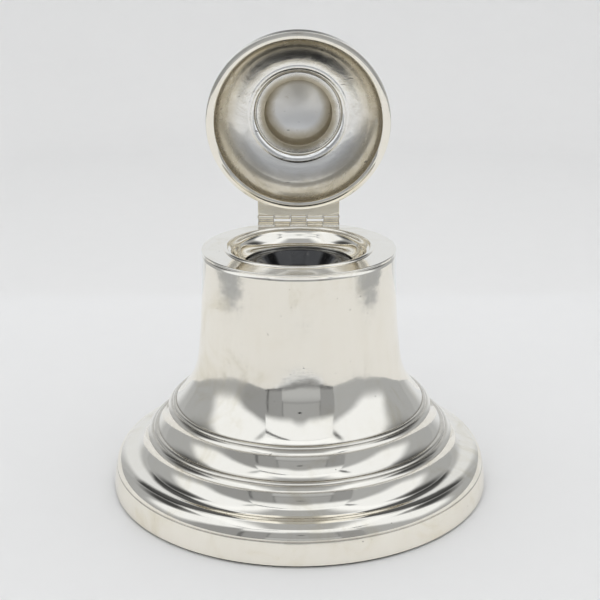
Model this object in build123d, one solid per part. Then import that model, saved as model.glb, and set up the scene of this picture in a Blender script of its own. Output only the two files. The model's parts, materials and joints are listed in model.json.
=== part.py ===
from build123d import *
import os

# Silver capstan inkwell with a glass liner and a hinged hollow lid, in millimetres.
# +Z is up and +Y runs from the front to the hinge. The origin is the centre of the
# face it stands on. Everything is turned about Z except the hinge.

# ---- overall sizes ----
foot_radius = 75.3          # widest point, at the bottom of the foot band
lower_ring_radius = 61.0
upper_ring_radius = 52.6
neck_radius = 37.6          # also the edge of the platform
foot_height = 8.8           # upright band
lower_stage_height = 12.5
middle_stage_height = 7.7
middle_stage_hollow = 0.115  # share of its height that its outline hollows by
neck_height = 60.5
ring_height = 2.7           # each of the two rings

# ---- sheet, rings and foot ----
neck_wall_width = 1.0       # measured level, as the stages' walls are
stage_wall_width = 1.8
foot_flare = 1.3            # the band's top is this much narrower than its bottom
foot_bow = 0.2
lower_ring_width = 4.0      # from the ring's edge in to the foot of the step above
upper_ring_width = 3.1
ring_overhang = 0.4         # the ring's edge stands this far past the step below
fillet_share = 0.45         # part of a ring's width taken by its thin upper member
ring_split = 0.36           # part of a ring's height taken by its thin upper member
ring_upright = 0.12         # part of a ring's height taken by its upright edge
fillet_bow = 0.35           # how round each member is, as part of its fall
bead_bow = 0.12
ring_lap = 0.5              # a ring reaches this far inside the sheet that it carries

# ---- closing of the base ----
pad_height = 0.8
foot_lip_width = 3.8        # the band is turned in under the board
foot_lip_height = 0.8
board_height = 5.0
board_gap = 0.1
pad_inset = 1.0
loading_height = 13.0
loading_gap = 1.0

# ---- platform, mouth and well ----
plate_height = 1.0
plate_edge_round = 0.35
mouth_clear = 5.0           # the closed lid's rim stands this far outside the raised wire
mouth_wire_width = 1.7
mouth_wire_rise = 0.7
mouth_seat = 0.6            # the wire laps this far over the platform
dish_width = 6.2
dish_depth = 5.7            # platform down to the dish's lower edge
dish_drop = 2.4             # upright collar under the dish
dish_turn_in = 0.4          # where the dish's roll turns over: share of its width
dish_turn_down = 0.42       # and share of its depth
dish_roll = 0.08
sheet = 0.8
glass_side_gap = 0.5        # round the liner's flange
glass_seat_gap = 0.05
glass_tube_gap = 0.6

# ---- glass liner ----
glass_depth = 22.0          # seat down to the underside
flange_width = 5.1          # beyond the tube
flange_height = 1.6
flange_margin = 4.0         # flange edge in to the upstanding mouth
glass_rim_width = 1.5
glass_rim_rise = 0.9        # above the flange
shoulder_width = 3.4
shoulder_drop = 5.0         # mouth down to the shoulder
shoulder_fall = 1.0
glass_wall = 5.2
glass_floor = 3.0
glass_heel = 2.0            # rounded edge under the liner
ink_hollow = 3.0            # rounded edge inside it
round_bow = 0.28            # share of such an edge that it swells by
glass_lip_height = 0.5
glass_lip_bow = 0.3

# ---- hinge ----
hinge_length = 34.0
knuckle_count = 5
knuckle_gap = 0.12
knuckle_radius = 0.9
knuckle_lift = 0.5          # under the knuckles, above the platform
pin_radius = 0.4
running_gap = 0.05          # lid knuckles turn on the pin with this radial clearance
pin_overhang = 0.25
leaf_height = 1.6
knuckle_foot = 1.0
lid_leaf_length = 2.1       # lid's edge out to the leaf's back edge
lid_leaf_height = 1.2
lid_leaf_drop = 0.8         # underside of the lid's leaf below the pin
knuckle_clear = 0.3

# ---- lid, drawn closed and then opened ----
lid_inset = 0.2             # the closed lid stands this far inside the platform's edge
lid_gap = 0.15              # under the closed rim
rim_width = 3.3
rim_height = 1.0
rim_wall_height = 4.0
rim_wall = 1.0
rim_roll_height = 2.0       # inner upstand of the rim
rim_roll = 0.6
rim_roll_bow = 0.35
shell = 0.9
crown_width = 6.5           # the shell's round shoulder
crown_rise = 6.9
crown_bow = 0.18            # share of its width that it swells by
web_rise = 2.6              # the shell's slow rise from its shoulder to the throat
web_bow = 0.43
throat_radius = 18.2
throat_curve = 3.6
throat_bow = 0.28           # share of that curve that it hollows by
throat_height = 2.6
collar_hole = 14.0
collar_height = 1.4
button_neck = 15.2
button_belly = 1.4          # the button's side swells by this much
belly_share = 0.8           # and its inside by this share of that
crown_radius = 14.6
button_height = 11.2
crown_share = 0.59          # of that height, up to where its side turns into its dome
crown_thinning = 0.4        # share of the sheet that the inside turns below the outside
lid_open = 82.6             # degrees from closed to standing open

# ---- levels and radii that follow ----
foot_bottom = pad_height
foot_top = foot_bottom + foot_height
lower_ring_bottom = foot_top + lower_stage_height
lower_ring_top = lower_ring_bottom + ring_height
upper_ring_bottom = lower_ring_top + middle_stage_height
upper_ring_top = upper_ring_bottom + ring_height
plate_bottom = upper_ring_top + neck_height
platform = plate_bottom + plate_height
foot_top_radius = foot_radius - foot_flare
neck_foot_radius = upper_ring_radius - upper_ring_width
middle_foot_radius = lower_ring_radius - lower_ring_width
lid_radius = neck_radius - lid_inset
mouth_radius = lid_radius - rim_width - mouth_clear
plate_hole = mouth_radius - mouth_seat
dish_radius = mouth_radius - mouth_wire_width
collar_radius = dish_radius - dish_width
glass_radius = collar_radius - glass_side_gap
glass_tube_radius = glass_radius - flange_width
glass_rim_radius = glass_radius - flange_margin
dish_edge = platform - dish_depth
seat = dish_edge - dish_drop
sleeve_radius = glass_tube_radius + glass_tube_gap
glass_seat = seat + glass_seat_gap
hinge_y = lid_radius + lid_leaf_length + knuckle_clear + knuckle_radius
hinge_z = platform + knuckle_radius + knuckle_lift
lid_bottom = platform + lid_gap


def arc_middle(start, end, bow):
    # the point that lies bow to the left of the middle of the way from start to end
    run_r, run_z = end[0] - start[0], end[1] - start[1]
    length = (run_r ** 2 + run_z ** 2) ** 0.5
    return (
        (start[0] + end[0]) / 2 - bow * run_z / length,
        (start[1] + end[1]) / 2 + bow * run_r / length,
    )


def edge(start, end):
    # a third number in a point bows the edge that arrives there
    if len(end) == 2:
        return Line(start[:2], end)
    return ThreePointArc(start[:2], arc_middle(start, end, end[2]), end[:2])


def turned(*points):
    # a closed outline in radius and height, turned about Z
    edges = [edge(a, b) for a, b in zip(points, points[1:] + points[:1])]
    return revolve(Plane.XZ * make_face(edges), Axis.Z)


def disc(radius, bottom, height):
    return Pos(0, 0, bottom) * Cylinder(radius, height, align=(Align.CENTER, Align.CENTER, Align.MIN))


# ---- body ----
def neck():
    # share of the flare, share of the height
    shares = [(0, 1), (0.05, 0.66), (0.18, 0.35), (0.41, 0.162), (0.66, 0.08), (1, 0)]
    flare = neck_foot_radius - neck_radius
    outer = [(neck_radius + flare * out, upper_ring_top + neck_height * up) for out, up in shares]
    inner = [(radius - neck_wall_width, height) for radius, height in reversed(outer)]
    down, out_and_down = (0, -1), (1, -0.95)
    edges = [
        Spline(*outer, tangents=(down, out_and_down)),
        Line(outer[-1], inner[0]),
        Spline(*inner, tangents=((-1, 0.95), (0, 1))),
        Line(inner[-1], outer[0]),
    ]
    return revolve(Plane.XZ * make_face(edges), Axis.Z)


def ring_members(ring_radius, ring_width, bottom, lap):
    # a thin rounded member above a broad one that falls to a sharp lower edge
    top = bottom + ring_height
    split = top - ring_height * ring_split
    shoulder = ring_radius - ring_width * (1 - fillet_share)
    start = ring_radius - ring_width
    inside = start - lap
    crest = (top - split) * fillet_bow
    upright = ring_height * ring_upright
    fillet = turned((inside, top), (start, top), (shoulder, split, crest), (inside, split))
    fall = split - bottom - upright
    bead = turned(
        (inside, split), (shoulder, split), (ring_radius, bottom + upright, fall * bead_bow),
        (ring_radius, bottom), (inside, bottom),
    )
    return fillet, bead


def middle_stage():
    top = upper_ring_radius - ring_overhang
    foot = middle_foot_radius
    hollow = middle_stage_height * middle_stage_hollow
    wall = stage_wall_width
    return turned(
        (top, upper_ring_bottom), (foot, lower_ring_top, -hollow),
        (foot - wall, lower_ring_top), (top - wall, upper_ring_bottom, hollow),
    )


def lower_stage():
    # a long hollow, a nearly level tread and a round shoulder
    top = lower_ring_radius - ring_overhang
    foot = foot_top_radius
    wall = stage_wall_width

    def point(out, up, bow=0):
        return (top + (foot - top) * out, foot_top + lower_stage_height * up, lower_stage_height * bow)

    def inner(out, up, inward, down):
        radius, height, _ = point(out, up)
        return (radius - wall * inward, height - wall * down)

    hollow_end, tread, shoulder = (0.2, 0.584), (0.53, 0.432), (0.866, 0.296)
    hollow_bow, tread_bow, shoulder_bow, edge_bow = -0.034, -0.036, 0.032, 0.024
    return turned(
        point(0, 1)[:2], point(*hollow_end, hollow_bow), point(*tread, tread_bow),
        point(*shoulder, shoulder_bow), point(1, 0, edge_bow), inner(1, 0, 1, 0),
        inner(*shoulder, 0.8, 0.55), inner(*tread, 0.35, 0.75), inner(*hollow_end, 0.75, 0.5),
        inner(0, 1, 1, 0),
    )


def foot_band():
    wall = stage_wall_width
    lip = foot_radius - foot_lip_width
    bow = foot_flare * foot_bow
    inner_foot = foot_radius - wall
    return turned(
        (foot_top_radius, foot_top), (foot_radius, foot_bottom, bow), (lip, foot_bottom),
        (lip, foot_bottom + foot_lip_height), (inner_foot, foot_bottom + foot_lip_height),
        (foot_top_radius - wall, foot_top),
    )


def base_board():
    lip = foot_radius - foot_lip_width
    top_radius = foot_top_radius - stage_wall_width - board_gap
    on_lip = foot_bottom + foot_lip_height
    return turned(
        (0, foot_bottom), (lip - board_gap, foot_bottom), (lip - board_gap, on_lip),
        (top_radius, on_lip), (top_radius, on_lip + board_height), (0, on_lip + board_height),
    )


def loading():
    radius = middle_foot_radius - ring_lap - loading_gap
    bottom = foot_bottom + foot_lip_height + board_height
    return disc(radius, bottom, loading_height)


def top_plate():
    plate = disc(neck_radius, plate_bottom, plate_height) - disc(plate_hole, plate_bottom, plate_height)
    rim = plate.edges().filter_by(GeomType.CIRCLE).group_by(Axis.Z)[-1].sort_by(SortBy.RADIUS)[-1]
    return fillet(rim, plate_edge_round)


def mouth_lip():
    inner = dish_radius
    return turned(
        (inner, plate_bottom), (plate_hole, plate_bottom), (plate_hole, platform),
        (mouth_radius, platform), (inner, platform, -mouth_wire_rise),
    )


def well_dish():
    # rolls in from the lip, then falls to an upright collar
    turn_radius = dish_radius - (dish_radius - collar_radius) * dish_turn_in
    turn = (turn_radius, platform - dish_depth * dish_turn_down)
    roll = dish_depth * dish_roll
    inner_turn = (turn[0] + sheet * 0.5, turn[1] - sheet * 0.7)
    outside = collar_radius + sheet
    return turned(
        (dish_radius, platform), (*turn, -roll), (collar_radius, dish_edge, roll),
        (collar_radius, seat), (outside, seat), (outside, dish_edge - sheet),
        (*inner_turn, -roll), (dish_radius, platform - sheet, roll),
    )


def well_sleeve():
    bottom = seat - glass_depth - glass_tube_gap
    return turned(
        (sleeve_radius, bottom), (sleeve_radius + sheet, bottom), (sleeve_radius + sheet, seat - sheet),
        (collar_radius + sheet, seat - sheet), (collar_radius + sheet, seat), (sleeve_radius, seat),
    )


def well_floor():
    return disc(sleeve_radius + sheet, seat - glass_depth - glass_tube_gap - sheet, sheet)


# ---- glass ----
def glass_liner():
    bottom = glass_seat - glass_depth + glass_seat_gap
    flange_top = glass_seat + flange_height
    mouth = flange_top + glass_rim_rise
    mouth_inside = glass_rim_radius - glass_rim_width
    shoulder_radius = mouth_inside - shoulder_width
    shoulder = mouth - shoulder_drop
    ink_radius = glass_tube_radius - glass_wall
    floor = bottom + glass_floor
    lip = mouth - glass_lip_height
    heel, hollow = glass_heel, ink_hollow
    return turned(
        (0, bottom), (glass_tube_radius - heel, bottom), (glass_tube_radius, bottom + heel, -heel * round_bow),
        (glass_tube_radius, glass_seat), (glass_radius, glass_seat),
        (glass_radius, flange_top), (glass_rim_radius, flange_top),
        (glass_rim_radius, lip), (mouth_inside, lip, -glass_rim_width * glass_lip_bow),
        (shoulder_radius, shoulder), (ink_radius, shoulder - shoulder_fall), (ink_radius, floor + hollow),
        (ink_radius - hollow, floor, hollow * round_bow), (0, floor),
    )


# ---- lid ----
def lid_rim():
    inner = lid_radius - rim_width
    base = lid_bottom
    return turned(
        (inner, base), (lid_radius, base), (lid_radius, base + rim_wall_height),
        (lid_radius - rim_wall, base + rim_wall_height), (lid_radius - rim_wall, base + rim_height),
        (inner + rim_roll, base + rim_height), (inner + rim_roll, base + rim_roll_height),
        (inner, base + rim_roll_height, -rim_roll * rim_roll_bow),
    )


def shell_levels():
    # levels of the shell's outside: rim, spring of the shoulder, top of the shoulder, throat, end
    start = lid_bottom + rim_height
    spring = lid_bottom + rim_wall_height
    crown = spring + crown_rise
    throat = crown + web_rise
    return start, spring, crown, throat, throat + throat_height


def lid_shell():
    start, spring, crown, throat, end = shell_levels()
    outside = lid_radius - rim_wall
    top_radius = outside - crown_width
    curve_radius = throat_radius + throat_curve
    bow = crown_width * crown_bow
    turn = throat_curve * throat_bow
    t = shell
    return turned(
        (outside, start), (outside, spring), (top_radius, crown, -bow), (curve_radius, throat, -web_bow),
        (throat_radius, end, turn), (throat_radius - t, end), (throat_radius - t, end - t),
        (curve_radius - t, throat - t, -turn), (top_radius - t, crown - t, web_bow),
        (outside - t, spring - t, bow), (outside - t, start),
    )


def lid_collar():
    end = shell_levels()[-1]
    return disc(throat_radius - shell, end - collar_height, collar_height) - disc(
        collar_hole, end - collar_height, collar_height
    )


def level_bow(radius, rise):
    # bow of an arc that climbs by rise over radius and arrives level at the axis
    sphere = (radius ** 2 + rise ** 2) / (2 * rise)
    chord = (radius ** 2 + rise ** 2) ** 0.5
    return sphere - (sphere ** 2 - chord ** 2 / 4) ** 0.5


def lid_button():
    base = shell_levels()[-1]
    t = button_neck - collar_hole
    inner_belly = button_belly * belly_share
    top = base + button_height
    crown = base + button_height * crown_share
    inner_crown = crown - t * crown_thinning
    return turned(
        (collar_hole, base, inner_belly), (throat_radius, base), (throat_radius, base + t),
        (button_neck, base + t), (crown_radius, crown, -button_belly),
        (0, top, -level_bow(crown_radius, top - crown)), (0, top - t),
        (crown_radius - t, inner_crown, level_bow(crown_radius - t, top - t - inner_crown)),
    )


# ---- hinge ----
def knuckle_span(index):
    length = (hinge_length - knuckle_gap * (knuckle_count - 1)) / knuckle_count
    start = -hinge_length / 2 + index * (length + knuckle_gap)
    return start, length


def along_x(radius, start, length):
    rod = Cylinder(radius, length, align=(Align.CENTER, Align.CENTER, Align.MIN))
    return Pos(start, hinge_y, hinge_z) * Rot(0, 90, 0) * rod


def block(x, y, z):
    # a box from three (low, high) pairs
    size = [high - low for low, high in (x, y, z)]
    middle = [(high + low) / 2 for low, high in (x, y, z)]
    return Pos(*middle) * Box(*size)


def body_knuckle(index):
    start, length = knuckle_span(index)
    half = knuckle_foot / 2
    foot = block((start, start + length), (hinge_y - half, hinge_y + half), (platform, hinge_z))
    return along_x(knuckle_radius, start, length) + foot - along_x(pin_radius, start, length)


def leaf_edge():
    return hinge_y - knuckle_radius - knuckle_clear


def lid_leaf_levels():
    return hinge_z - lid_leaf_drop, hinge_z - lid_leaf_drop + lid_leaf_height


def lid_knuckle(index):
    start, length = knuckle_span(index)
    web = block((start, start + length), (leaf_edge(), hinge_y), lid_leaf_levels())
    bore = along_x(pin_radius + running_gap, start, length)
    return along_x(knuckle_radius, start, length) + web - bore


def hinge_body_leaf():
    half = hinge_length / 2
    back = hinge_y + knuckle_radius
    plate = block((-half, half), (0, back), (platform - leaf_height, platform))
    return plate - disc(neck_radius, platform - leaf_height, leaf_height)


def hinge_lid_leaf():
    half = hinge_length / 2
    low, high = lid_leaf_levels()
    plate = block((-half, half), (0, leaf_edge()), (low, high))
    return plate - disc(lid_radius, low, high - low)


def hinge_pin():
    return along_x(pin_radius, -hinge_length / 2 - pin_overhang, hinge_length + 2 * pin_overhang)


def opened(shape):
    return shape.rotate(Axis((0, hinge_y, hinge_z), (1, 0, 0)), -lid_open)


def build():
    upper_fillet, upper_bead = ring_members(
        upper_ring_radius, upper_ring_width, upper_ring_bottom, neck_wall_width + ring_lap
    )
    lower_fillet, lower_bead = ring_members(
        lower_ring_radius, lower_ring_width, lower_ring_bottom, stage_wall_width + ring_lap
    )
    nodes = {
        "top_plate": top_plate(),
        "mouth_lip": mouth_lip(),
        "well_dish": well_dish(),
        "well_sleeve": well_sleeve(),
        "well_floor": well_floor(),
        "neck_wall": neck(),
        "upper_ring_fillet": upper_fillet,
        "upper_ring_bead": upper_bead,
        "middle_stage": middle_stage(),
        "lower_ring_fillet": lower_fillet,
        "lower_ring_bead": lower_bead,
        "lower_stage": lower_stage(),
        "foot_band": foot_band(),
        "loading": loading(),
        "base_board": base_board(),
        "baize_pad": disc(foot_radius - pad_inset, 0, pad_height),
        "hinge_body_leaf": hinge_body_leaf(),
        "hinge_pin": hinge_pin(),
        "glass_liner": glass_liner(),
        "lid_rim": opened(lid_rim()),
        "lid_shell": opened(lid_shell()),
        "lid_collar": opened(lid_collar()),
        "lid_button": opened(lid_button()),
        "hinge_lid_leaf": opened(hinge_lid_leaf()),
    }
    for index in range(knuckle_count):
        on_lid = index % 2 == 1
        nodes[f"hinge_knuckle_{index + 1}"] = opened(lid_knuckle(index)) if on_lid else body_knuckle(index)
    return nodes


os.makedirs("parts", exist_ok=True)
for name, shape in build().items():
    export_step(shape, f"parts/{name}.step")
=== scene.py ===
import json
import math

import bmesh
import bpy
import numpy as np
from mathutils import Matrix, Vector

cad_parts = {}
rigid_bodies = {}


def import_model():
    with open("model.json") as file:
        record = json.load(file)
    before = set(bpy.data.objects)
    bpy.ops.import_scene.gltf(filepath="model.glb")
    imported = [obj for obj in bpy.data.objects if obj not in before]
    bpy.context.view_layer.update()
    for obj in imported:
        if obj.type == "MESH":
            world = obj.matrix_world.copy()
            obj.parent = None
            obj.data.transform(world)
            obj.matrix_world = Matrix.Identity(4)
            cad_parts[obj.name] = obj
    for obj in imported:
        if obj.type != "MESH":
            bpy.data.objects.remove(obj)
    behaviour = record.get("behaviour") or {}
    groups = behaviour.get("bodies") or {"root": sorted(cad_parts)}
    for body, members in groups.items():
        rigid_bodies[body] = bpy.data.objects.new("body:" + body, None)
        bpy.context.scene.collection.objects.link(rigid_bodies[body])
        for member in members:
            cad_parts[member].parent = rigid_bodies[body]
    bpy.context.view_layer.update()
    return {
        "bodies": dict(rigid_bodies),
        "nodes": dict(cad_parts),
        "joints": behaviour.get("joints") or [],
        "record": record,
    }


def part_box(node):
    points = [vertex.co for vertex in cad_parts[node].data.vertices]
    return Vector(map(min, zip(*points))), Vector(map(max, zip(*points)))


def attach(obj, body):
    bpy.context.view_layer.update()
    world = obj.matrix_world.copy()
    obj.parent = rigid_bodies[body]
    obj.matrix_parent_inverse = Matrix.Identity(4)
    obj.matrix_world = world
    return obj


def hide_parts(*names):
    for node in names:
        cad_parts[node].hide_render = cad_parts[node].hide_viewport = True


# A silver capstan inkwell: spun and turned body, glass liner, hollow lid on a five-knuckle hinge.
# Outlines are worked in millimetres of radius and height, and turned into meshes in metres.

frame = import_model()
MM = 0.001
TINY = 1e-6  # anything shorter counts as nothing


# ---------------------------------------------------------------- sizes taken from the frame
def spans(node, closing=None):
    """Radius, bottom and top of a turned node in millimetres, after an optional closing turn."""
    corners = [v.co for v in frame["nodes"][node].data.vertices]
    if closing is not None:
        corners = [closing @ c for c in corners]
    return (
        max(c.x for c in corners) / MM,
        min(c.z for c in corners) / MM,
        max(c.z for c in corners) / MM,
    )


hinge = next(j for j in frame["joints"] if j["name"] == "lid_hinge")
pin = Vector(hinge["pos_m"])
swing = math.radians(hinge["range_deg"][1])
to_pin = Matrix.Translation(pin)
closing = to_pin @ Matrix.Rotation(swing, 4, "X") @ to_pin.inverted()
opening = closing.inverted()


# ---------------------------------------------------------------- outlines
def between(start, end, bow, steps):
    """Points of an arc after start up to end, bowed to the left of the way by bow."""
    run = Vector((end[0] - start[0], end[1] - start[1]))
    half = run.length / 2
    if abs(bow) < TINY:
        return [
            (start[0] + run.x * n / steps, start[1] + run.y * n / steps) for n in range(1, steps + 1)
        ]
    radius = (half ** 2 + bow ** 2) / (2 * bow)
    left = Vector((-run.y, run.x)).normalized()
    centre = Vector((start[0] + end[0], start[1] + end[1])) / 2 + left * (bow - radius)
    side_way = 1 if radius > 0 else -1
    sweep = 2 * math.atan2(side_way * half, side_way * (radius - bow))
    arm = Vector(start[:2]) - centre
    made = []
    for n in range(1, steps + 1):
        turned = Matrix.Rotation(-sweep * n / steps, 2) @ arm
        made.append((centre.x + turned.x, centre.y + turned.y))
    return made


ARC_PITCH = 0.5  # millimetres between points along an arc
SMOOTH_TURN = math.radians(12)  # a turn below this is part of a curve, not a corner
ROUND_STEPS = 5
CORNER_ROOM = 0.42  # a corner takes less than half of the run on either side


def outline(points, soft=0.12, pitch=1.2, closed=True):
    """A fine outline: arcs where a point has a bow, and corners eased by soft millimetres."""
    fine = []
    corners = set()
    order = points + points[:1] if closed else points
    fine.append(tuple(order[0][:2]))
    corners.add(0)
    for start, end in zip(order, order[1:]):
        bow = end[2] if len(end) > 2 else 0
        length = math.hypot(end[0] - start[0], end[1] - start[1])
        straight_steps = max(1, math.ceil(length / pitch))
        steps = straight_steps if bow == 0 else max(10, math.ceil(length / ARC_PITCH))
        fine += between(start[:2], end[:2], bow, steps)
        corners.add(len(fine) - 1)
    if closed:
        fine.pop()
        corners = {n % len(fine) for n in corners}
    return eased(fine, corners, soft, closed)


def eased(fine, corners, soft, closed):
    """Cuts each true corner back into a small round with a narrow margin on either side."""
    made = []
    count = len(fine)
    for n, point in enumerate(fine):
        here = Vector(point)
        inner_end = not closed and n in (0, count - 1)
        if n not in corners or inner_end:
            made.append(point)
            continue
        back = Vector(fine[n - 1]) - here
        ahead = Vector(fine[(n + 1) % count]) - here
        turn = math.pi - back.angle(ahead)
        if turn < SMOOTH_TURN or abs(here.x) < TINY:
            made.append(point)
            continue
        cut = min(soft * math.tan(turn / 2), back.length * CORNER_ROOM, ahead.length * CORNER_ROOM)
        first = here + back.normalized() * cut
        last = here + ahead.normalized() * cut
        margin = cut * 0.25
        made.append(tuple(first + back.normalized() * margin))
        for k in range(ROUND_STEPS + 1):
            t = k / ROUND_STEPS
            made.append(tuple(first * (1 - t) ** 2 + here * 2 * t * (1 - t) + last * t ** 2))
        made.append(tuple(last + ahead.normalized() * margin))
    return made


def spline(knots, start_way, end_way, steps=14):
    """A smooth line of even curvature through knots, leaving and arriving along the given ways."""
    points = np.array(knots, float)
    gaps = np.linalg.norm(np.diff(points, axis=0), axis=1)
    count = len(points)
    left = np.eye(count)
    right = np.zeros_like(points)
    for end, way in ((0, start_way), (count - 1, end_way)):
        right[end] = np.array(way, float) / np.hypot(*way)
    for n in range(1, count - 1):
        before, after = gaps[n - 1], gaps[n]
        left[n, n - 1:n + 2] = after, 2 * (before + after), before
        right[n] = 3 * (
            after * (points[n] - points[n - 1]) / before + before * (points[n + 1] - points[n]) / after
        )
    ways = np.linalg.solve(left, right)
    made = [tuple(points[0])]
    for n, gap in enumerate(gaps):
        for t in np.linspace(0, 1, steps + 1)[1:]:
            made.append(tuple(
                points[n] * (2 * t ** 3 - 3 * t ** 2 + 1) + ways[n] * gap * (t ** 3 - 2 * t ** 2 + t)
                + points[n + 1] * (3 * t ** 2 - 2 * t ** 3) + ways[n + 1] * gap * (t ** 3 - t ** 2)
            ))
    return made


# ---------------------------------------------------------------- meshes
def turned(name, profile, sides=240, closed=True, place=None):
    """Turns a fine profile about Z."""
    work = bmesh.new()
    rings = []
    for radius, height in profile:
        if radius < TINY:
            rings.append([work.verts.new((0, 0, height * MM))])
            continue
        rings.append([
            work.verts.new((
                radius * MM * math.cos(math.tau * n / sides),
                radius * MM * math.sin(math.tau * n / sides),
                height * MM,
            ))
            for n in range(sides)
        ])
    pairs = list(zip(rings, rings[1:]))
    if closed and not (len(rings[0]) == 1 and len(rings[-1]) == 1):
        pairs.append((rings[-1], rings[0]))
    for one, two in pairs:
        for n in range(sides):
            m = (n + 1) % sides
            if len(one) == 1 and len(two) == 1:
                continue
            if len(one) == 1:
                work.faces.new((one[0], two[m], two[n]))
            elif len(two) == 1:
                work.faces.new((one[n], one[m], two[0]))
            else:
                work.faces.new((one[n], one[m], two[m], two[n]))
    bmesh.ops.recalc_face_normals(work, faces=work.faces)
    return placed(name, work, place)


def placed(name, work, place=None):
    """Makes a smooth-shaded object of a mesh being built, and puts it in its place."""
    mesh = bpy.data.meshes.new(name)
    work.to_mesh(mesh)
    work.free()
    mesh.polygons.foreach_set("use_smooth", [True] * len(mesh.polygons))
    piece = bpy.data.objects.new(name, mesh)
    bpy.context.scene.collection.objects.link(piece)
    if place is not None:
        piece.matrix_world = place
    return piece


def fitted(piece, body, look, node):
    """Gives a piece its finish and its body, and hides the CAD node that it stands for."""
    piece.data.materials.append(look)
    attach(piece, body)
    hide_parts(node)


# ---------------------------------------------------------------- body
def ring_outlines(fillet_node, bead_node, lap):
    """The thin upper member and the broad lower member of a ring, with the CAD's own curves."""
    shoulder, split, top = spans(fillet_node)
    edge, bottom, _ = spans(bead_node)
    height = top - bottom
    fillet_share, fillet_bow, bead_bow, upright_share = 0.45, 0.35, 0.12, 0.12
    width = (edge - shoulder) / (1 - fillet_share)
    start = edge - width
    inside = start - lap
    upright = height * upright_share
    upper = [
        (inside, top), (start, top), (shoulder, split, (top - split) * fillet_bow), (inside, split),
    ]
    lower = [
        (inside, split), (shoulder, split),
        (edge, bottom + upright, (split - bottom - upright) * bead_bow),
        (edge, bottom), (inside, bottom),
    ]
    return outline(upper, 0.1), outline(lower, 0.14)


def neck_outline():
    """The neck's wall: near upright below the platform, flaring like a trumpet at its foot."""
    foot, bottom, top = spans("neck_wall")
    waist = spans("top_plate")[0]
    wall = 1.0
    shares = [(0, 1), (0.05, 0.66), (0.18, 0.35), (0.41, 0.162), (0.66, 0.08), (1, 0)]
    outer = [(waist + (foot - waist) * out, bottom + (top - bottom) * up) for out, up in shares]
    inner = [(radius - wall, height) for radius, height in reversed(outer)]
    foot_slope = 0.95
    return spline(outer, (0, -1), (1, -foot_slope)) + spline(inner, (-1, foot_slope), (0, 1), 5)


def stage_outlines():
    """The hollow-curved step between the rings, and the wide ogee step below them."""
    wall, ring_overhang, middle_hollow = 1.8, 0.4, 0.115
    top, low, high = spans("middle_stage")
    upper_edge = spans("upper_ring_bead")[0] - ring_overhang
    hollow = (high - low) * middle_hollow
    middle = [
        (upper_edge, high), (top, low, -hollow), (top - wall, low), (upper_edge - wall, high, hollow),
    ]
    foot, low, high = spans("lower_stage")
    start = spans("lower_ring_bead")[0] - ring_overhang
    height = high - low

    def point(out, up, bow=0):
        return (start + (foot - start) * out, low + height * up, height * bow)

    def inner(out, up, inward, down):
        radius, level, _ = point(out, up)
        return (radius - wall * inward, level - wall * down)

    hollow_end, tread, shoulder = (0.2, 0.584), (0.53, 0.432), (0.866, 0.296)
    lower = [
        point(0, 1)[:2], point(*hollow_end, -0.034), point(*tread, -0.036),
        point(*shoulder, 0.032), point(1, 0, 0.024), inner(1, 0, 1, 0),
        inner(*shoulder, 0.8, 0.55), inner(*tread, 0.35, 0.75), inner(*hollow_end, 0.75, 0.5),
        inner(0, 1, 1, 0),
    ]
    return outline(middle, 0.05, 0.5), outline(lower, 0.05, 0.5)


def foot_outline():
    """The upright band, turned in under the board."""
    edge, bottom, top = spans("foot_band")
    flare, flare_bow, wall, lip = 1.3, 0.2, 1.8, 3.8
    on_lip = bottom + 0.8
    return outline([
        (edge - flare, top), (edge, bottom, flare * flare_bow), (edge - lip, bottom),
        (edge - lip, on_lip), (edge - wall, on_lip), (edge - flare - wall, top),
    ], 0.35)


def mouth_outlines():
    """The platform's plate, crisp underneath, and the half-round wire round the mouth."""
    waist, low, platform = spans("top_plate")
    mouth, _, wire_top = spans("mouth_lip")
    crest = wire_top - platform
    wire_seat, wire_width, crisp = 0.6, 1.7, 0.05
    hole, dish = mouth - wire_seat, mouth - wire_width
    plate = [
        (hole, platform), (hole, low), (waist - crisp, low), (waist, low),
        (waist, low + crisp), (waist, platform),
    ]
    lip = [(dish, low), (hole, low), (hole, platform), (mouth, platform), (dish, platform, -crest)]
    return outline(plate, 0.35), outline(lip, 0.06, 0.5)


def dish_outline():
    """The dish that falls from the mouth's wire to the upright collar round the glass."""
    edge, seat, platform = spans("well_dish")
    glass_gap, depth, sheet = 0.5, 5.7, 0.8
    turn_in, turn_down, roll_share = 0.4, 0.42, 0.08
    collar = spans("glass_liner")[0] + glass_gap
    low = platform - depth
    turn = (edge - (edge - collar) * turn_in, platform - depth * turn_down)
    roll = depth * roll_share
    inner_turn = (turn[0] + sheet * 0.5, turn[1] - sheet * 0.7)
    return outline([
        (edge, platform), (*turn, -roll), (collar, low, roll), (collar, seat),
        (collar + sheet, seat), (collar + sheet, low - sheet), (*inner_turn, -roll),
        (edge, platform - sheet, roll),
    ], 0.12, 0.4)


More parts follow.
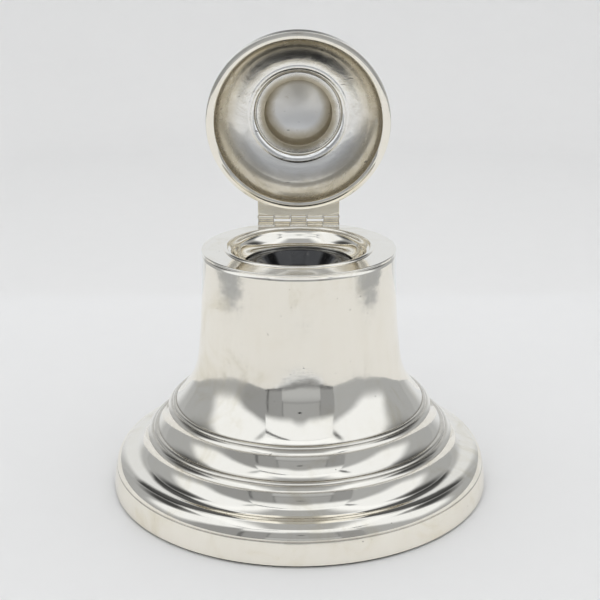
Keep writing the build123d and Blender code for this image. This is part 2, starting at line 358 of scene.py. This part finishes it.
def liner_outline():
    """Half of the glass, from its underside round the mouth to the floor of the ink's hollow."""
    flange, bottom, mouth = spans("glass_liner")
    flange_width, flange_margin, flange_height = 5.1, 4.0, 1.6
    rim_width, rim_rise, lip_height, lip_bow = 1.5, 0.9, 0.5, 0.3
    shoulder_width, shoulder_drop, shoulder_fall = 3.4, 5.0, 1
    glass_wall, glass_floor = 5.2, 3.0
    heel, heel_bow, hollow, hollow_bow = 2, 0.55, 3, 0.85
    tube = flange - flange_width
    rim = flange - flange_margin
    inside = rim - rim_width
    shoulder, ink = inside - shoulder_width, tube - glass_wall
    crest = rim_width * lip_bow
    lip = mouth - crest
    shelf = mouth - crest + lip_height - rim_rise
    seat = shelf - flange_height
    step = lip + lip_height - shoulder_drop
    floor = bottom + glass_floor
    return outline([
        (0, bottom), (tube - heel, bottom), (tube, bottom + heel, -heel_bow), (tube, seat),
        (flange, seat), (flange, shelf), (rim, shelf), (rim, lip), (inside, lip, -crest),
        (shoulder, step), (ink, step - shoulder_fall), (ink, floor + hollow),
        (ink - hollow, floor, hollow_bow), (0, floor),
    ], 0.4, 0.5)


# ---------------------------------------------------------------- lid, drawn closed
def lid_outlines():
    """The rim with its inner roll, the shell, the collar and the button, each as the CAD has it."""
    edge, base, rim_top = spans("lid_rim", closing)
    rim_width, rim_height, wall, crest = 3.3, 1.0, 1.0, 0.35
    roll, roll_height, roll_bow = 0.6, 2.0, 0.35
    inner = edge - rim_width
    on_rim, roll_top = base + rim_height, base + roll_height
    rim = [
        (inner, base + crest), (edge, base + crest, -crest), (edge, rim_top), (edge - wall, rim_top),
        (edge - wall, on_rim), (inner + roll, on_rim), (inner + roll, roll_top),
        (inner, roll_top, -roll * roll_bow),
    ]
    side, start, end = spans("lid_shell", closing)
    crown_width, crown_rise, crown_bow = 6.5, 6.9, 0.18
    web_rise, web_bow = 2.6, 0.43
    neck, neck_curve, neck_bow, sheet = 18.2, 3.6, 0.28, 0.9
    spring, crown, throat = rim_top, rim_top + crown_rise, rim_top + crown_rise + web_rise
    shoulder, curve = side - crown_width, neck + neck_curve
    bow, turn = crown_width * crown_bow, neck_curve * neck_bow
    shell = [
        (side, start), (side, spring), (shoulder, crown, -bow), (curve, throat, -web_bow),
        (neck, end, turn), (neck - sheet, end), (neck - sheet, end - sheet),
        (curve - sheet, throat - sheet, -turn), (shoulder - sheet, crown - sheet, web_bow),
        (side - sheet, spring - sheet, bow), (side - sheet, start),
    ]
    outer, low, high = spans("lid_collar", closing)
    hole = 14.0
    collar = [(hole, low), (outer, low), (outer, high), (hole, high)]
    reach, base, top = spans("lid_button", closing)
    t, crown_radius, belly, mouth_bow = 1.2, 14.6, 1.4, 0.8
    neck = hole + t
    crown = base + (top - base) * 0.59
    inner_crown = crown - t * 0.4
    button = [
        (hole, base, belly * mouth_bow), (reach, base), (reach, base + t), (neck, base + t),
        (crown_radius, crown, -belly), (0, top, -level_bow(crown_radius, top - crown)), (0, top - t),
        (crown_radius - t, inner_crown, level_bow(crown_radius - t, top - t - inner_crown)),
    ]
    softness = (0.18, 0.1, 0.2, 0.15)
    return [outline(points, soft, 0.5) for points, soft in zip((rim, shell, collar, button), softness)]


def level_bow(radius, rise):
    """Bow of an arc that climbs by rise over radius and arrives level at the axis."""
    sphere = (radius ** 2 + rise ** 2) / (2 * rise)
    chord = math.hypot(radius, rise)
    return sphere - math.sqrt(sphere ** 2 - chord ** 2 / 4)


# ---------------------------------------------------------------- finishes
class Tone:
    """One value or colour in a finish, with arithmetic that adds the nodes for it."""

    def __init__(self, tree, socket=None):
        self.tree = tree
        self.socket = socket

    def node(self, kind, settings=None, sockets=None, out=0):
        """Adds a node with its settings and socket values, and gives one of its outputs."""
        made = self.tree.nodes.new(kind)
        for name, value in (settings or {}).items():
            if name == "stops":
                ramp = made.color_ramp.elements
                while len(ramp) < len(value):
                    ramp.new(1)
                for stop, (place, colour) in zip(ramp, value):
                    stop.position = place
                    stop.color = colour if hasattr(colour, "__len__") else (colour, colour, colour, 1)
            else:
                setattr(made, name, value)
        for name, value in (sockets or {}).items():
            if isinstance(value, Tone):
                self.tree.links.new(value.socket, made.inputs[name])
            else:
                made.inputs[name].default_value = value
        return Tone(self.tree, made.outputs[out])

    def maths(self, operation, *values, **settings):
        """A maths node on the values given, which don't include this one unless it is named."""
        return self.node(
            "ShaderNodeMath", {"operation": operation, **settings}, dict(enumerate(values))
        )

    def __add__(self, other):
        return self.maths("ADD", self, other)

    def __radd__(self, other):
        return self.maths("ADD", other, self)

    def __sub__(self, other):
        return self.maths("SUBTRACT", self, other)

    def __rsub__(self, other):
        return self.maths("SUBTRACT", other, self)

    def __mul__(self, other):
        return self.maths("MULTIPLY", self, other)

    def __truediv__(self, other):
        return self.maths("DIVIDE", self, other)

    def __pow__(self, other):
        return self.maths("POWER", self, other)

    def clipped(self):
        return self.maths("MULTIPLY", self, 1.0, use_clamp=True)

    def rising(self, low, high):
        """0 at low, 1 at high, smooth between."""
        return self.node(
            "ShaderNodeMapRange", {"interpolation_type": "SMOOTHSTEP"},
            {0: self, 1: low, 2: high, 3: 0.0, 4: 1.0},
        )

    def band(self, low, high, soft):
        """1 between low and high, fading over soft on either side."""
        return self.rising(low - soft, low + soft) * (1 - self.rising(high - soft, high + soft))

    def noise(self, where, scale, detail=3.0, rough=0.55, warp=0.0):
        return self.node(
            "ShaderNodeTexNoise", {},
            {"Vector": where, "Scale": scale, "Detail": detail, "Roughness": rough, "Distortion": warp},
        )

    def stretched(self, where, factors, turn=(0, 0, 0)):
        """The place scaled along its axes, so that a noise over it becomes streaks."""
        return self.node(
            "ShaderNodeMapping", {}, {"Vector": where, "Scale": factors, "Rotation": turn}
        )

    def tint(self, share, under, over):
        """Lays colour over on colour under by share."""
        return self.node(
            "ShaderNodeMix", {"data_type": "RGBA", "blend_type": "MIX", "clamp_factor": True},
            {0: share, 6: under, 7: over}, 2,
        )


def finish(name, **constants):
    """A Principled finish with its constants, and the Tone that starts its nodes."""
    material = bpy.data.materials.new(name)
    material.use_nodes = True
    tree = material.node_tree
    shader = tree.nodes["Principled BSDF"]
    for socket, value in constants.items():
        shader.inputs[socket.replace("_", " ").title().replace("Ior", "IOR")].default_value = value
    start = Tone(tree)
    place = start.node("ShaderNodeTexCoord", out=3)
    return material, start, place, shader


def wired(start, shader, **values):
    """Links worked-out values into the finish's sockets."""
    for socket, value in values.items():
        start.tree.links.new(value.socket, shader.inputs[socket.replace("_", " ").title()])


def split(start, place):
    """X, Y and Z of a place, each in metres."""
    return [start.node("ShaderNodeSeparateXYZ", {}, {0: place}, out) for out in range(3)]


def out_from_axis(start, place):
    """Distance from the Z axis in metres."""
    flat = start.node("ShaderNodeVectorMath", {"operation": "MULTIPLY"}, {0: place, 1: (1, 1, 0)})
    return start.node("ShaderNodeVectorMath", {"operation": "LENGTH"}, {0: flat}, 1)


def darkening_at_joints(start, place, levels, reach):
    """1 in the joints at these heights, fading over reach metres."""
    height = split(start, place)[2]
    joint_darkening = None
    for level in levels:
        near = 1 - height.maths("ABSOLUTE", height - level * MM).rising(reach * 0.2, reach)
        joint_darkening = near if joint_darkening is None else joint_darkening.maths("MAXIMUM", joint_darkening, near)
    return joint_darkening


def polished_silver(name, joints=(), reach=0.0006):
    """Hand-polished silver: slow waves in the sheet, hairline scratches, pits, a little tarnish."""
    material, start, place, shader = finish(name, metallic=1.0)
    waves = start.noise(place, 30.0, 2.0, 0.4)
    ripples = start.noise(place, 110.0, 2.0, 0.5)
    hairs = start.noise(start.stretched(place, (900, 900, 90), (0.3, 0.2, 0)), 1.0, 4.0, 0.7)
    crossing = start.stretched(place, (120, 1000, 1000), (0.9, 0.4, 0.5))
    cross_hairs = start.noise(crossing, 1.0, 4.0, 0.7)
    pits = start.noise(place, 420.0, 2.0, 0.6).rising(0.735, 0.79)
    cloud = start.noise(place, 48.0, 5.0, 0.62, 0.8)
    streaks = start.noise(start.stretched(place, (260, 260, 34)), 1.0, 3.0, 0.6)
    patches = cloud.rising(0.52, 0.76) * 0.5
    film = (cloud * 0.6 + streaks * 0.4).rising(0.38, 0.66)
    colour = start.tint(film, (0.965, 0.925, 0.835, 1), (0.945, 0.90, 0.80, 1))
    colour = start.tint(patches, colour, (0.80, 0.73, 0.56, 1))
    colour = start.tint(pits * 0.6, colour, (0.26, 0.22, 0.17, 1))
    scratches = (hairs * 0.5 + cross_hairs * 0.5).rising(0.45, 0.75)
    rough = 0.05 + scratches * 0.06 + film * 0.03 + patches * 0.16 + pits * 0.2
    if joints:
        # the joints between parts go darker, browner and rougher
        joint_darkening = darkening_at_joints(start, place, joints, reach) * (0.25 + cloud * 0.6)
        colour = start.tint(joint_darkening, colour, (0.40, 0.37, 0.31, 1))
        rough = rough + joint_darkening * 0.22
    depth = waves + ripples * 0.09 + streaks * 0.012 + scratches * 0.004 - pits * 0.03
    bump = start.node("ShaderNodeBump", {}, {"Strength": 0.4, "Distance": 0.0009, "Height": depth})
    wired(start, shader, base_color=colour, roughness=rough, normal=bump)
    return material


ring_levels = []
for ring in ("upper_ring", "lower_ring"):
    _, ring_split, ring_top = spans(ring + "_fillet")
    ring_levels += [ring_top, spans(ring + "_bead")[1], ring_split]
silver = polished_silver("polished_silver", joints=ring_levels + [spans("foot_band")[2]])
plain_silver = polished_silver("plain_polished_silver")


def lid_silver(name, centre_radius, edge_radius, gold, white, rough_base):
    """Silver left to itself inside the lid: golden and darker toward its edges, partly tarnish and
    partly painted shade, and paler and satin in the middle, partly clean silver and partly painted
    light.
    """
    material, start, place, shader = finish(name, metallic=1.0)
    out = out_from_axis(start, place)
    cloud = start.noise(place, 60.0, 5.0, 0.62, 0.9)
    fine = start.noise(place, 420.0, 4.0, 0.65)
    blots = start.noise(place, 130.0, 4.0, 0.7, 1.5)
    dents = start.noise(place, 26.0, 3.0, 0.5, 0.6)
    edge = out.rising(centre_radius * MM, edge_radius * MM)
    # the inside faces down and toward the axis; the outside is kept polished
    across, along, _ = split(start, place)
    facing = split(start, start.node("ShaderNodeTexCoord", out=1))
    outward = (facing[0] * across + facing[1] * along) / (out + 0.001)
    inside = 1 - (facing[2] + outward).rising(-0.2, 0.2)
    # painted shade toward the edges, where the base colour goes golden and darker, partly tarnish;
    # painted light toward the middle, where it goes paler, partly clean silver
    tarnish_and_shade = ((edge * 1.1 + cloud * 0.9 - 0.55) * gold).clipped()
    colour = start.tint((1 - edge) * white, (0.90, 0.86, 0.775, 1), (0.985, 0.975, 0.95, 1))
    colour = start.tint(tarnish_and_shade, colour, (0.53, 0.465, 0.34, 1))
    colour = start.tint(blots.rising(0.6, 0.78) * 0.3, colour, (0.48, 0.42, 0.31, 1))
    colour = start.tint(fine.rising(0.5, 0.8) * 0.2, colour, (0.97, 0.95, 0.91, 1))
    nick_streaks = start.stretched(place, (150, 900, 500), (0.2, 0.5, 0.9))
    nicks = start.noise(nick_streaks, 1.0, 1.0, 0.5).rising(0.74, 0.79)
    colour = start.tint(nicks * 0.7, colour, (0.10, 0.09, 0.08, 1))
    colour = start.tint(inside, (0.955, 0.915, 0.82, 1), colour)
    polish = 0.055
    wear = rough_base - polish + cloud.rising(0.35, 0.7) * 0.12 + edge * 0.1 + fine * 0.05
    rough = polish + wear * inside
    depth = dents + (cloud * 0.4 + fine * 0.03) * inside
    bump = start.node("ShaderNodeBump", {}, {"Strength": 0.5, "Distance": 0.0007, "Height": depth})
    wired(start, shader, base_color=colour, roughness=rough, normal=bump)
    return material


# the lid's inside finishes: tarnish with painted shade toward their edges, painted light in their
# middles
shell_silver = lid_silver("aged_and_shaded_lid_silver", 22.5, 33.0, 0.95, 0.8, 0.085)
collar_silver = lid_silver("stained_and_shaded_collar_silver", 17.6, 14.4, 0.95, 0.8, 0.16)
button_silver = lid_silver("whitened_and_shaded_button_silver", 8.5, 14.0, 1.0, 1.0, 0.36)
barrel_ends = [[corner[0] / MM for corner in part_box("hinge_knuckle_%d" % n)] for n in range(1, 6)]
hinge_joints = [(one[1] + two[0]) / 2 for one, two in zip(barrel_ends, barrel_ends[1:])]
half_hinge = barrel_ends[-1][1]
hinge_silver = polished_silver("hinge_silver", hinge_joints + [-half_hinge, half_hinge], 0.0007)


def shaded_black_glass():
    """Thick moulded glass painted nearly black as the shade deep in the well, mottled by ink that dried
    in it.
    """
    material, start, place, shader = finish("shade_black_ink_stained_glass", roughness=0.06, ior=1.62)
    ink = start.noise(place, 90.0, 4.0, 0.6, 0.8)
    spots = start.noise(place, 320.0, 3.0, 0.6).rising(0.62, 0.75)
    dried = ink.rising(0.4, 0.7)
    # painted shade: the glass is nearly black all through, for the darkness deep in the well
    colour = start.tint(dried, (0.006, 0.006, 0.006, 1), (0.024, 0.023, 0.022, 1))
    colour = start.tint(spots * 0.3, colour, (0.16, 0.15, 0.14, 1))
    rough = 0.03 + dried * 0.06 + spots * 0.15
    depth = ink + spots * 0.1
    bump = start.node("ShaderNodeBump", {}, {"Strength": 0.3, "Distance": 0.0004, "Height": depth})
    wired(start, shader, base_color=colour, roughness=rough, normal=bump)
    return material


shade_black_glass = shaded_black_glass()


def matte(name, dark, pale, where=(1, 1, 1), scale=200.0, roughness=0.85, relief=0.0003):
    """A dull finish that wanders between two colours."""
    material, start, place, shader = finish(name)
    grain = start.noise(start.stretched(place, where), scale, 5.0, 0.65, 0.5)
    fine = start.noise(place, 900.0, 3.0, 0.6)
    colour = start.tint((grain * 0.7 + fine * 0.3).rising(0.35, 0.65), dark, pale)
    depth = grain + fine * 0.5
    bump = start.node("ShaderNodeBump", {}, {"Strength": 0.5, "Distance": relief, "Height": depth})
    wired(start, shader, base_color=colour, roughness=roughness - grain * 0.1, normal=bump)
    return material


# the well's lining shares the lid's finish: tarnish with painted shade toward its edges, painted light
# in its middle
well_lining = lid_silver("dull_well_lining", 8.0, 24.0, 0.8, 0.4, 0.3)
plaster = matte("loading_plaster", (0.52, 0.49, 0.43, 1), (0.66, 0.63, 0.57, 1))
board = matte("oak_board", (0.10, 0.055, 0.025, 1), (0.22, 0.13, 0.065, 1), (1, 0.12, 1), 260.0, 0.7)
# dark green baize, made darker still as painted shadow along the line under the foot
baize = matte(
    "dark_baize_with_painted_shadow", (0.006, 0.010, 0.007, 1), (0.018, 0.028, 0.02, 1),
    scale=500.0, roughness=0.98, relief=0.0002,
)


# ---------------------------------------------------------------- making the body
upper_fillet, upper_bead = ring_outlines("upper_ring_fillet", "upper_ring_bead", 1.5)
lower_fillet, lower_bead = ring_outlines("lower_ring_fillet", "lower_ring_bead", 2.3)
middle, lower = stage_outlines()
plate, lip = mouth_outlines()
body_pieces = {
    "neck_wall": neck_outline(),
    "upper_ring_fillet": upper_fillet,
    "upper_ring_bead": upper_bead,
    "middle_stage": middle,
    "lower_ring_fillet": lower_fillet,
    "lower_ring_bead": lower_bead,
    "lower_stage": lower,
    "foot_band": foot_outline(),
    "top_plate": plate,
    "mouth_lip": lip,
    "well_dish": dish_outline(),
}
for node, profile in body_pieces.items():
    fitted(turned("silver_" + node, profile), "body", silver, node)
glass = turned("glass_well_liner", liner_outline(), closed=False)
fitted(glass, "liner", shade_black_glass, "glass_liner")
lid_finishes = {
    "lid_rim": (plain_silver, "silver"),
    "lid_shell": (shell_silver, "tarnished_silver"),
    "lid_collar": (collar_silver, "tarnished_silver"),
    "lid_button": (button_silver, "tarnished_silver"),
}
for (node, (look, slot)), profile in zip(lid_finishes.items(), lid_outlines()):
    fitted(turned("silver_" + node, profile, place=opening), "lid", look, node)


# ---------------------------------------------------------------- hinge
def bevelled(work, faces, soft):
    """Rounds every edge of the given faces."""
    edges = {edge for face in faces for edge in face.edges}
    bmesh.ops.bevel(
        work, geom=list(edges), offset=soft * MM, segments=3, profile=0.5, affect="EDGES",
        clamp_overlap=True,
    )


def prism(work, points, low, high, soft):
    """A flat outline carried from low to high, its edges rounded. All in millimetres."""
    rings = [[work.verts.new((x * MM, y * MM, z * MM)) for x, y in points] for z in (low, high)]
    faces = [work.faces.new(rings[0][::-1]), work.faces.new(rings[1])]
    for n in range(len(points)):
        m = (n + 1) % len(points)
        faces.append(work.faces.new((rings[0][n], rings[0][m], rings[1][m], rings[1][n])))
    bevelled(work, faces, soft)


def leaf(name, half, radius, back, low, high, place=None):
    """A flat plate hugging the round edge of what it is soldered to."""
    work = bmesh.new()
    curve = [(x, math.sqrt(radius ** 2 - x ** 2) - 0.02) for x in np.linspace(-half, half, 25)]
    prism(work, [(half, back), (-half, back)] + curve, low, high, 0.14)
    bmesh.ops.recalc_face_normals(work, faces=work.faces)
    piece = placed(name, work, place)
    piece.data.polygons.foreach_set("use_smooth", [False] * len(piece.data.polygons))
    return piece


def knuckle(name, start, end, bore, outside, block, place):
    """One barrel of the hinge with its foot, along the pin."""
    work = bmesh.new()
    profile = outline([(bore, start), (outside, start), (outside, end), (bore, end)], 0.16, 0.8)
    sides = 48
    rings = [
        [
            work.verts.new((
                radius * MM * math.cos(math.tau * n / sides),
                radius * MM * math.sin(math.tau * n / sides),
                along * MM,
            ))
            for n in range(sides)
        ]
        for radius, along in profile
    ]
    for one, two in zip(rings, rings[1:] + rings[:1]):
        for n in range(sides):
            m = (n + 1) % sides
            work.faces.new((one[n], one[m], two[m], two[n]))
    (near, far), (left, right) = block
    shy = 0.03  # the foot stops short of the barrel's ends
    prism(work, [(near, left), (far, left), (far, right), (near, right)], start + shy, end - shy, 0.12)
    bmesh.ops.recalc_face_normals(work, faces=work.faces)
    return placed(name, work, place)


along_pin = Matrix.Translation(pin) @ Matrix.Rotation(math.radians(90), 4, "Y")
barrel, barrel_clear = 0.9, 0.3
fixed_bore, turning_bore = 0.45, 0.5
body_leaf_height, lid_leaf_height, lid_leaf_drop = 1.6, 1.2, 0.8
plate_edge, _, platform = spans("top_plate")
leaf_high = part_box("hinge_body_leaf")[1]
half = leaf_high[0] / MM
lid_leaf_back = pin.y / MM - barrel - barrel_clear
lid_low = pin.z / MM - lid_leaf_drop
body_leaf = leaf(
    "silver_hinge_body_leaf", half, plate_edge, leaf_high[1] / MM, platform - body_leaf_height, platform,
)
lid_leaf = leaf(
    "silver_hinge_lid_leaf", half, spans("lid_rim", closing)[0], lid_leaf_back,
    lid_low, lid_low + lid_leaf_height, opening,
)
fitted(body_leaf, "body", plain_silver, "hinge_body_leaf")
fitted(lid_leaf, "lid", plain_silver, "hinge_lid_leaf")
# a knuckle's foot, as its reach along Z below the pin and along Y to its leaf
foot_on_lid = ((-0.4, lid_leaf_drop), (-barrel - barrel_clear, -0.55))
foot_on_body = ((0.55, pin.z / MM - platform), (-0.5, 0.5))
for number in range(1, 6):
    node = "hinge_knuckle_%d" % number
    start, end = barrel_ends[number - 1]
    on_lid = number % 2 == 0
    bore = turning_bore if on_lid else fixed_bore
    foot = foot_on_lid if on_lid else foot_on_body
    place = opening @ along_pin if on_lid else along_pin
    piece = knuckle("silver_" + node, start, end, bore, barrel, foot, place)
    fitted(piece, "lid" if on_lid else "body", hinge_silver, node)
hidden_looks = {
    "hinge_pin": hinge_silver, "well_sleeve": well_lining, "well_floor": well_lining,
    "loading": plaster, "base_board": board, "baize_pad": baize,
}
for node, look in hidden_looks.items():
    thing = frame["nodes"][node]
    thing.data.materials.clear()
    thing.data.materials.append(look)


# ---------------------------------------------------------------- stage
def flat_card(name, corners):
    """A four-cornered card, in metres."""
    work = bmesh.new()
    work.faces.new([work.verts.new(corner) for corner in corners])
    card = placed(name, work)
    return card


def lit(name, level_of):
    """A glowing cloth whose level is worked out from its own X, Y and Z."""
    material = bpy.data.materials.new(name)
    material.use_nodes = True
    tree = material.node_tree
    tree.nodes.clear()
    start = Tone(tree)
    place = start.node("ShaderNodeTexCoord", out=3)
    level = level_of(*split(start, place))
    glow = start.node("ShaderNodeEmission", {}, {"Color": (0.95, 0.985, 1.04, 1), "Strength": level})
    out = tree.nodes.new("ShaderNodeOutputMaterial")
    tree.links.new(glow.socket, out.inputs[0])
    return material


def oval(a, b, middle_a, middle_b, half_a, half_b, core=0.25, fade=1.25):
    """1 in the middle of an oval, falling to 0 outside it."""
    away = (((a - middle_a) / half_a) ** 2 + ((b - middle_b) / half_b) ** 2) ** 0.5
    return 1 - away.rising(core, fade)


def side(front_level, streak):
    """A side cloth: a bright lamp slanting forward as it rises, bright above, dark fittings behind."""
    def level(x, y, z):
        edge = -0.17 - (z - 0.1) * 0.75
        lamp = (1 - y.rising(-0.03, 0.04)) * (y - edge).rising(-0.05, 0.05) * z.rising(0.02, 0.11)
        upper = z.rising(0.43, 0.56)
        rear_dark = oval(y, z, 0.12, 0.35, 0.14, 0.19, 0.3, 1.1)
        front_dark = oval(y, z, -0.37, 0.57, 0.14, 0.07, 0.2, 1.1) * streak
        base = front_level + y.rising(-0.24, -0.1) * (0.41 - front_level)
        shade = (1 - rear_dark * 0.85) * (1 - front_dark)
        glow = base + lamp * (0.95 - base)
        return glow.maths("MAXIMUM", glow, upper * 0.97) * shade
    return level


def front_cloth(x, y, z):
    """Grey below and bright above, with an upright frame, a sill, a seam and a slanting dark streak."""
    away = x.maths("ABSOLUTE", x - 0.016)
    low = 1 - z.rising(0.04, 0.12)
    pale = (z - oval(x, z, 0.0, 0.37, 0.07, 0.2) * 0.05).rising(0.28, 0.42)
    outside = away.rising(0.158, 0.17)
    frame = away.rising(0.15, 0.156) * (1 - away.rising(0.162, 0.168)) * z.band(0.09, 0.30, 0.01)
    sill = (1 - away.rising(0.155, 0.16)) * z.band(0.095, 0.115, 0.008)
    seam = (1 - (x.maths("ABSOLUTE", x + 0.288)).rising(0.006, 0.016)) * (1 - z.rising(0.2, 0.3))
    streak_line = z - 0.56 - (x + 0.32) * 0.55
    off_streak = streak_line.maths("ABSOLUTE", streak_line).rising(0.012, 0.05)
    streak = (1 - off_streak) * (1 - x.rising(-0.13, -0.07))
    foot_gap = 1 - z.rising(0.006, 0.02)
    brow = z.band(0.668, 0.68, 0.005)
    level = 0.37 + low * 0.11 * (1 - outside) - outside * 0.06
    level = level + (0.96 - level) * pale
    level = level * (1 - frame * 0.35) * (1 - seam * 0.5) * (1 - sill * 0.15)
    return level * (1 - streak * 0.85) * (1 - foot_gap * 0.5) * (1 - brow * 0.35)


def back_cloth(x, y, z):
    """Pale low down and at the top, with a dark band between."""
    out = x.maths("ABSOLUTE", x).rising(0.17, 0.27)
    band = z.rising(0.2, 0.27) * (1 - z.rising(0.45, 0.56))
    return (0.78 - out * 0.32 + z.rising(0.5, 0.6) * 0.2) * (1 - band * 0.88)


def roof_cloth(x, y, z):
    """Bright round its sides and over the front, dim in the middle."""
    edge = x.maths("MAXIMUM", x.maths("ABSOLUTE", x) / 0.33, 1 - (y + 0.452) / 0.3)
    return 0.42 + edge.rising(0.35, 0.75) * 0.62


def gap_shade(x, y, z):
    """The floor darkens toward the front cloth."""
    near_front = 1 - y.rising(-0.432, -0.402)
    near_middle = 1 - x.maths("ABSOLUTE", x).rising(0.15, 0.2)
    return 0.76 - near_front * near_middle * 0.46


def lens_shade(x, y, z):
    """Nearly black all over."""
    return x * 0 + 0.01


def upright(x_from, x_to, y_from, y_to, low, high):
    """Corners of a standing card over the line between two places."""
    return [(x_from, y_from, low), (x_to, y_to, low), (x_to, y_to, high), (x_from, y_from, high)]


def level_card(across, y_from, y_to, height):
    """Corners of a level card."""
    return [
        (-across, y_from, height), (across, y_from, height),
        (across, y_to, height), (-across, y_to, height),
    ]


half, front, back, top = 0.322, -0.452, 0.235, 0.68
tent = {
    "left_cloth": (upright(-half, -half, front, back, 0, top), side(0.31, 0.5)),
    "right_cloth": (upright(half, half, front, back, 0, top), side(0.42, 0.85)),
    "front_cloth": (upright(-half, half, front, front, 0, top), front_cloth),
    "back_cloth": (upright(-half, half, back, back, 0, top), back_cloth),
    "roof_cloth": (level_card(half, front, back, top), roof_cloth),
    "gap_shade": (level_card(0.2, -0.385, front, 0.0006), gap_shade),
    "dark_lens_card": (upright(-0.013, 0.013, -0.4495, -0.4495, 0.213, 0.236), lens_shade),
}
for name, (corners, level_of) in tent.items():
    card = flat_card(name, corners)
    card.data.materials.append(lit(name, level_of))
    card.visible_camera = card.visible_diffuse = card.visible_shadow = False

sweep_up = outline([(0, 0), (700, 0), (950, 250, -70), (950, 1000)], 0.1, 20, False)
floor = turned("floor", sweep_up, 96, False)
paper, start, place, shader = finish("pale_paper", roughness=0.7)
grain = start.noise(place, 60.0, 3.0, 0.5)
wired(start, shader, base_color=start.tint(grain, (0.80, 0.80, 0.80, 1), (0.815, 0.815, 0.812, 1)))
floor.data.materials.append(paper)

world = bpy.data.worlds.new("studio")
bpy.context.scene.world = world
world.use_nodes = True
sky = world.node_tree.nodes["Background"]
sky.inputs["Color"].default_value = (0.99, 0.995, 1, 1)
sky.inputs["Strength"].default_value = 1.32
world.cycles_visibility.glossy = False

camera = bpy.data.objects.new("camera", bpy.data.cameras.new("camera"))
bpy.context.scene.collection.objects.link(camera)
camera.data.lens, camera.data.sensor_width = 72.4, 36.0
camera.data.clip_start = 0.01
camera.location = (0, -0.44985, 0.2245)
aside, down, lean = math.radians(-0.05), math.radians(90 - 18.39), math.radians(-0.22)
look = Matrix.Rotation(aside, 3, "Z") @ Matrix.Rotation(down, 3, "X")
camera.rotation_euler = (look @ Matrix.Rotation(lean, 3, "Z")).to_euler()
bpy.context.scene.camera = camera
bpy.context.scene.view_settings.view_transform = "Standard"
